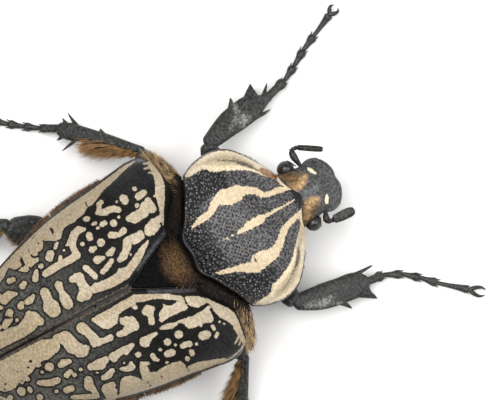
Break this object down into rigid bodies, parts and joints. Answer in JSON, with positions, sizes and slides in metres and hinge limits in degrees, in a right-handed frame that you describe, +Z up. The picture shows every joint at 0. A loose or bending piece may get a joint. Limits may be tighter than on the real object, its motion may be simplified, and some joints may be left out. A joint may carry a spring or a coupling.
{
  "type": "goliath beetle",
  "caption": "Female goliath beetle standing with legs spread, a still life-size model with cream and black wing cases.",
  "frame": {"origin": "on the floor under the middle of the beetle's box", "axes": "head faces -Y, +X is the beetle's left, +Z up from the floor that its feet rest on"},
  "size_m": [0.0756, 0.0976, 0.025],
  "materials": {
    "wing_case": "velvety chitin, cream with black net",
    "black_shell": "glossy black chitin",
    "velvet": "black velvety chitin",
    "hairy_side": "dark brown chitin under short hair",
    "leg": "black chitin, semi-gloss",
    "eye": "glossy dark facets",
    "hair": "orange-brown bristles"
  },
  "bodies": {
    "root": {"head": "black_shell", "mouthparts": "leg", "eye_left": "eye", "antenna_left": "leg", "club_left": "leg", "elytron_left": "wing_case", "eye_right": "eye", "antenna_right": "leg", "club_right": "leg", "elytron_right": "wing_case", "prothorax": "black_shell", "mesothorax": "hairy_side", "scutellum": "velvet", "metathorax": "hairy_side", "abdomen": "velvet", "pygidium": "black_shell", "coxa_front_left": "leg", "femur_front_left": "leg", "tibia_front_left": "leg", "tarsus_front_left": "leg", "claws_front_left": "leg", "coxa_front_right": "leg", "femur_front_right": "leg", "tibia_front_right": "leg", "tarsus_front_right": "leg", "claws_front_right": "leg", "coxa_middle_left": "leg", "femur_middle_left": "leg", "tibia_middle_left": "leg", "tarsus_middle_left": "leg", "claws_middle_left": "leg", "coxa_middle_right": "leg", "femur_middle_right": "leg", "tibia_middle_right": "leg", "tarsus_middle_right": "leg", "claws_middle_right": "leg", "coxa_hind_left": "leg", "femur_hind_left": "leg", "tibia_hind_left": "leg", "tarsus_hind_left": "leg", "claws_hind_left": "leg", "coxa_hind_right": "leg", "femur_hind_right": "leg", "tibia_hind_right": "leg", "tarsus_hind_right": "leg", "claws_hind_right": "leg"}
  },
  "joints": []
}
